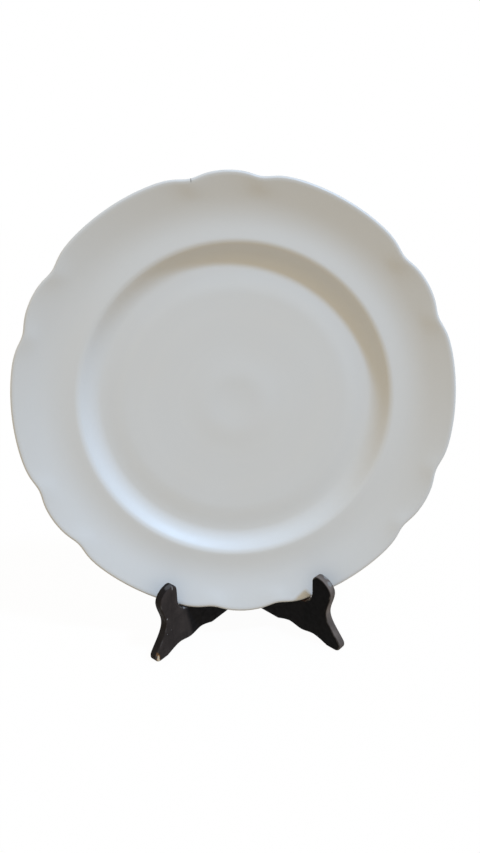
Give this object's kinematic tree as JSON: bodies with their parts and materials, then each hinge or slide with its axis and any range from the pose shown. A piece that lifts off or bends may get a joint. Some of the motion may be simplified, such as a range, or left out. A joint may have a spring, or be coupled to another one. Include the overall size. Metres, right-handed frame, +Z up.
{
  "type": "cake plate",
  "caption": "Scalloped white porcelain cake plate with a broad rim and shallow well, leaning on a folding stand of two black lacquered boards hinged at the back.",
  "frame": {"origin": "on the table, under the middle of the whole object's box", "axes": "+X to the viewer's right, +Y to the back where the boards are hinged, +Z up from the table"},
  "size_m": [0.3, 0.0844, 0.3174],
  "materials": {
    "porcelain": "clear gloss glaze over white porcelain",
    "black_lacquer": "satin black lacquer, rubbed at the edges",
    "brass": "aged satin brass"
  },
  "bodies": {
    "left_half": {"left_leg": "black_lacquer", "upper_hinge_left_leaf": "brass", "lower_hinge_left_leaf": "brass", "upper_hinge_pin": "brass", "lower_hinge_pin": "brass", "upper_hinge_left_screw_1": "brass", "upper_hinge_left_screw_2": "brass", "lower_hinge_left_screw_1": "brass", "lower_hinge_left_screw_2": "brass"},
    "right_half": {"right_leg": "black_lacquer", "upper_hinge_right_leaf": "brass", "lower_hinge_right_leaf": "brass", "upper_hinge_right_screw_1": "brass", "upper_hinge_right_screw_2": "brass", "lower_hinge_right_screw_1": "brass", "lower_hinge_right_screw_2": "brass"},
    "plate": {"plate": "porcelain"}
  },
  "joints": [
    {"name": "plate_lift", "type": "slide", "parent": "left_half", "child": "plate", "axis": [0, 0, 1], "range_m": [0, 0.15]},
    {"name": "stand_fold", "type": "hinge", "parent": "left_half", "child": "right_half", "pos_m": [0, 0.02544, 0.055], "axis": [0, 0, -1], "range_deg": [0, 86]}
  ],
  "couplings": [
    {"joint": "stand_fold", "follows": "plate_lift", "rad_per_m": 10}
  ]
}
